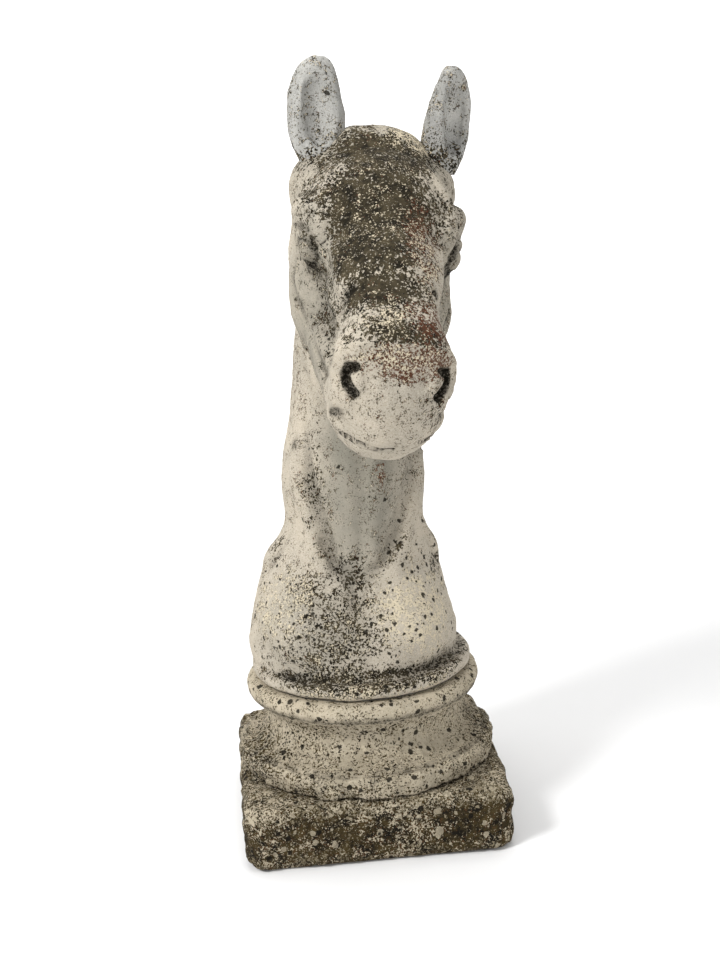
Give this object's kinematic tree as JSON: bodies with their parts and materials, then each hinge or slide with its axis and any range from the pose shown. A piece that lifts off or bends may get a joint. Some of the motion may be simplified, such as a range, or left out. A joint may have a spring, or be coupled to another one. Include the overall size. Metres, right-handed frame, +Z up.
{
  "type": "giant chess knight statue",
  "caption": "Weathered cast stone horse's head bust with pricked ears on a turned socle and square plinth, a heavy free-standing giant chess knight for a garden",
  "frame": {"origin": "middle of the plinth's underside", "axes": "+Z up; the horse faces -Y; +X is the horse's left; the plinth's sides are parallel to X and Y"},
  "size_m": [0.3012, 0.4045, 0.858],
  "materials": {
    "plinth_stone": "cast stone, heavily covered in dark and olive lichen",
    "bust_stone": "cast stone, warm grey beige with dark lichen and pale weathered patches",
    "ear_stone": "smooth blue grey cast stone with small air holes",
    "mortar": "dark weathered cement mortar",
    "steel": "plain mild steel bar"
  },
  "bodies": {
    "root": {"plinth_block": "plinth_stone", "lower_mortar_bed": "mortar", "socle": "bust_stone", "upper_mortar_bed": "mortar", "bust": "bust_stone", "ear_right": "ear_stone", "ear_left": "ear_stone", "ear_mortar_right": "mortar", "ear_mortar_left": "mortar", "ear_pin_right": "steel", "ear_pin_left": "steel", "neck_bar_right": "steel", "neck_bar_left": "steel", "head_bar": "steel", "centre_dowel": "steel", "dowel_grout_plinth": "mortar", "dowel_grout_socle": "mortar", "dowel_grout_bust": "mortar"}
  },
  "joints": []
}
